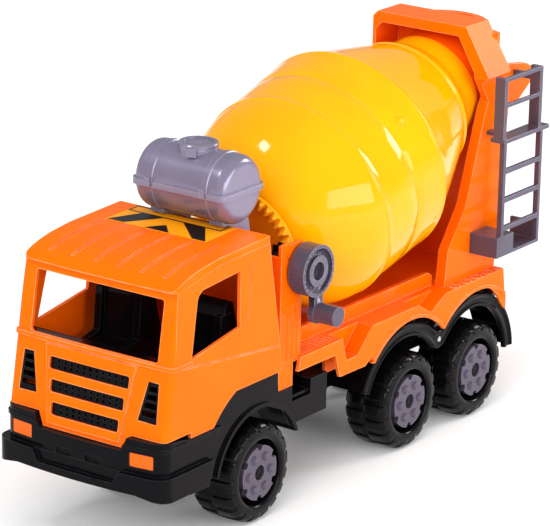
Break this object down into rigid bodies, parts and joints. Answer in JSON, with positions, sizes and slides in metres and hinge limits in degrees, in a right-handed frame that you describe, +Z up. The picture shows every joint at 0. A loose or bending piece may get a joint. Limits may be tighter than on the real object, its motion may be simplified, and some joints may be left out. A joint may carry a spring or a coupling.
{
  "type": "toy cement mixer truck",
  "caption": "Toy cement mixer truck with rolling wheels, a tilted drum geared to a side crank, an open cab, a roof tank, a ladder, a feed hopper and a swinging chute.",
  "frame": {"origin": "on the ground in the middle of the truck's length and width, under the tyres", "axes": "+X forward towards the bumper, +Y towards the crank and ladder side, +Z up"},
  "size_m": [0.6081, 0.209, 0.3638],
  "materials": {
    "orange": "gloss",
    "red_orange": "gloss",
    "yellow": "gloss",
    "grey": "satin",
    "black": "gloss",
    "tyre": "gloss, moulded hard plastic tread",
    "steel": "drawn",
    "lamp": "gloss, tinted lens",
    "sticker": "printed film"
  },
  "bodies": {
    "truck": {"chassis_frame": "black", "cab_shell": "orange", "cab_floor": "red_orange", "seats": "black", "dashboard": "black", "grille_insert": "black", "side_vents": "black", "bumper": "black", "headlights": "lamp", "front_fender_left": "black", "front_fender_right": "black", "cargo_bed": "orange", "rear_fender_left": "black", "rear_fender_right": "black", "drum_tower": "orange", "drum_pin": "steel", "rear_frame": "orange", "mouth_ring": "orange", "feed_hopper": "orange", "chute_pin": "steel", "ladder": "grey", "tank_saddle": "grey", "tank_bottom": "grey", "tank_top": "grey", "tank_cap": "grey", "roof_sticker": "sticker", "chassis_screws": "steel"},
    "front_wheels": {"front_axle": "steel", "axle_caps_front": "black", "tyre_front_left": "tyre", "tyre_front_right": "tyre", "hub_front_left": "grey", "hub_front_right": "grey"},
    "mid_wheels": {"mid_axle": "steel", "axle_caps_mid": "black", "tyre_mid_left": "tyre", "tyre_mid_right": "tyre", "hub_mid_left": "grey", "hub_mid_right": "grey"},
    "rear_wheels": {"rear_axle": "steel", "axle_caps_rear": "black", "tyre_rear_left": "tyre", "tyre_rear_right": "tyre", "hub_rear_left": "grey", "hub_rear_right": "grey"},
    "drum": {"drum_front_shell": "yellow", "drum_rear_shell": "yellow", "crown_gear": "yellow"},
    "crank": {"crank_shaft": "steel", "crank_pinion": "black", "crank_handle": "grey", "crank_knob": "grey"},
    "chute": {"discharge_chute": "orange"}
  },
  "joints": [
    {"name": "front_axle_spin", "type": "hinge", "parent": "truck", "child": "front_wheels", "pos_m": [0.1505, 0, 0.0446], "axis": [0, 1, 0], "continuous": true},
    {"name": "mid_axle_spin", "type": "hinge", "parent": "truck", "child": "mid_wheels", "pos_m": [-0.0778, 0, 0.0446], "axis": [0, 1, 0], "continuous": true},
    {"name": "rear_axle_spin", "type": "hinge", "parent": "truck", "child": "rear_wheels", "pos_m": [-0.1872, 0, 0.0446], "axis": [0, 1, 0], "continuous": true},
    {"name": "drum_spin", "type": "hinge", "parent": "truck", "child": "drum", "pos_m": [0.0192, 0, 0.2306], "axis": [-0.9624, 0, 0.2716], "continuous": true},
    {"name": "crank_spin", "type": "hinge", "parent": "truck", "child": "crank", "pos_m": [0.0882, 0.05, 0.21113], "axis": [0, 1, 0], "continuous": true},
    {"name": "chute_swing", "type": "hinge", "parent": "truck", "child": "chute", "pos_m": [-0.256, 0, 0.18], "axis": [0, 0, 1], "range_deg": [-40, 40]}
  ],
  "couplings": [
    {"joint": "crank_spin", "follows": "drum_spin", "ratio": -3.3333}
  ]
}
